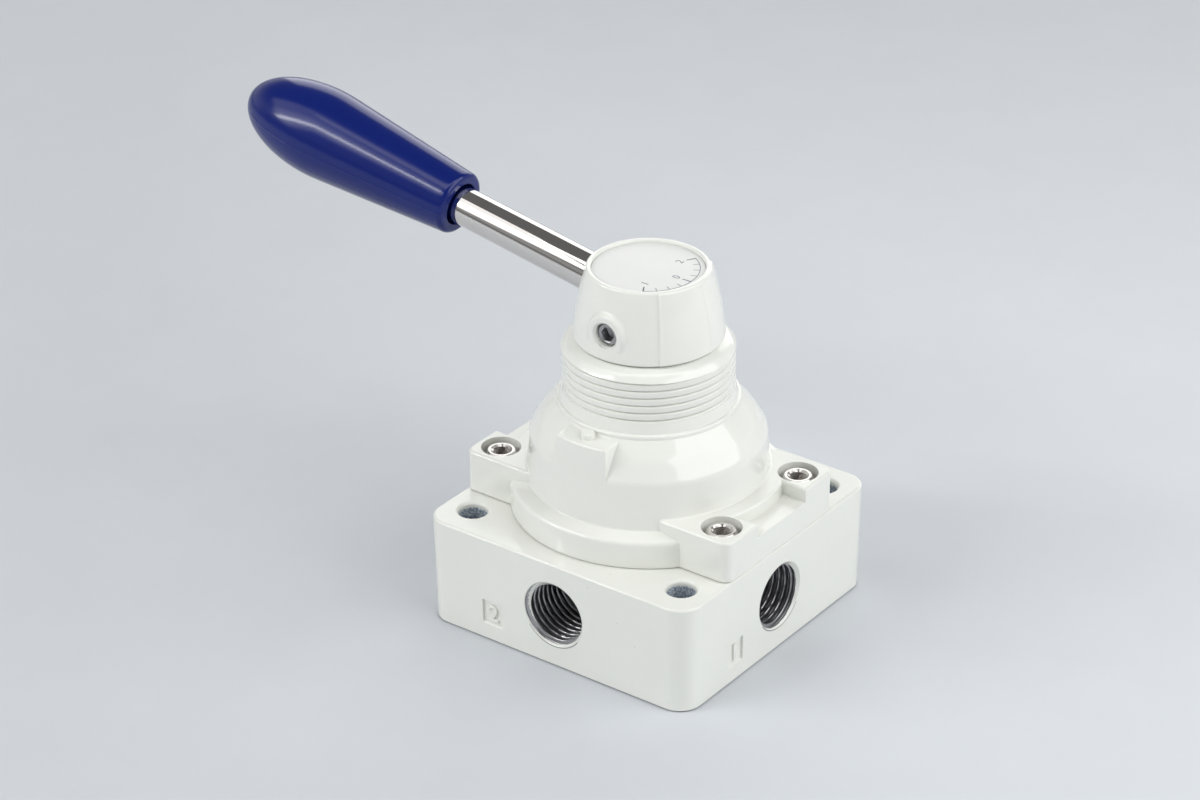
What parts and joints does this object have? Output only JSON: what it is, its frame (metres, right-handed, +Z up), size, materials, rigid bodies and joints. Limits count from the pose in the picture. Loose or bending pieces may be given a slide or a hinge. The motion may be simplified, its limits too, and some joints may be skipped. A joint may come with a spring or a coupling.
{
  "type": "hand lever air valve",
  "caption": "Hand-operated rotary air valve: square base with threaded ports, domed cover with a threaded collar, and a tilted lever with a grip that turns an inner disc.",
  "frame": {"origin": "centre of the four mounting holes in the plane of the base's underside", "axes": "+Z up along the spindle, -X under the lever at rest, -Y towards the locating pad"},
  "size_m": [0.1241, 0.06, 0.0852],
  "materials": {
    "white_enamel": "gloss",
    "bare_aluminium": "satin",
    "nickel_steel": "satin",
    "plain_steel": "satin",
    "dark_steel": "satin",
    "ball_steel": "polished",
    "chrome_rod": "polished",
    "bronze": "satin",
    "seal_rubber": "matte",
    "bearing_plastic": "matte",
    "dial_white": "gloss",
    "blue_grip": "gloss"
  },
  "bodies": {
    "housing": {"base_body": "white_enamel", "seat_gasket": "seal_rubber", "body_o_ring": "seal_rubber", "cover_housing": "white_enamel", "cover_screws": "nickel_steel", "lock_washers": "nickel_steel", "spindle_bush": "bronze", "spindle_o_ring": "seal_rubber"},
    "rotor": {"spindle": "plain_steel", "thrust_washer": "bearing_plastic", "rotary_disc": "bare_aluminium", "disc_spring": "dark_steel", "drive_pins": "nickel_steel", "detent_spring_left": "dark_steel", "detent_spring_right": "dark_steel", "lever_head": "white_enamel", "head_set_screw": "dark_steel", "dial_plate": "dial_white", "lever_rod": "chrome_rod", "grip": "blue_grip", "grip_insert": "bronze"},
    "ball_left": {"detent_ball_left": "ball_steel"},
    "ball_right": {"detent_ball_right": "ball_steel"}
  },
  "joints": [
    {"name": "lever_turn", "type": "hinge", "parent": "housing", "child": "rotor", "pos_m": [0, 0, 0.05], "axis": [0, 0, 1], "range_deg": [-45, 45]},
    {"name": "detent_left", "type": "slide", "parent": "rotor", "child": "ball_left", "axis": [0, 0, 1], "range_m": [0, 0.0005], "deforming": ["detent_spring_left"]},
    {"name": "detent_right", "type": "slide", "parent": "rotor", "child": "ball_right", "axis": [0, 0, 1], "range_m": [0, 0.0005], "deforming": ["detent_spring_right"]}
  ],
  "couplings": [
    {"joint": "detent_right", "follows": "detent_left", "ratio": 1}
  ]
}
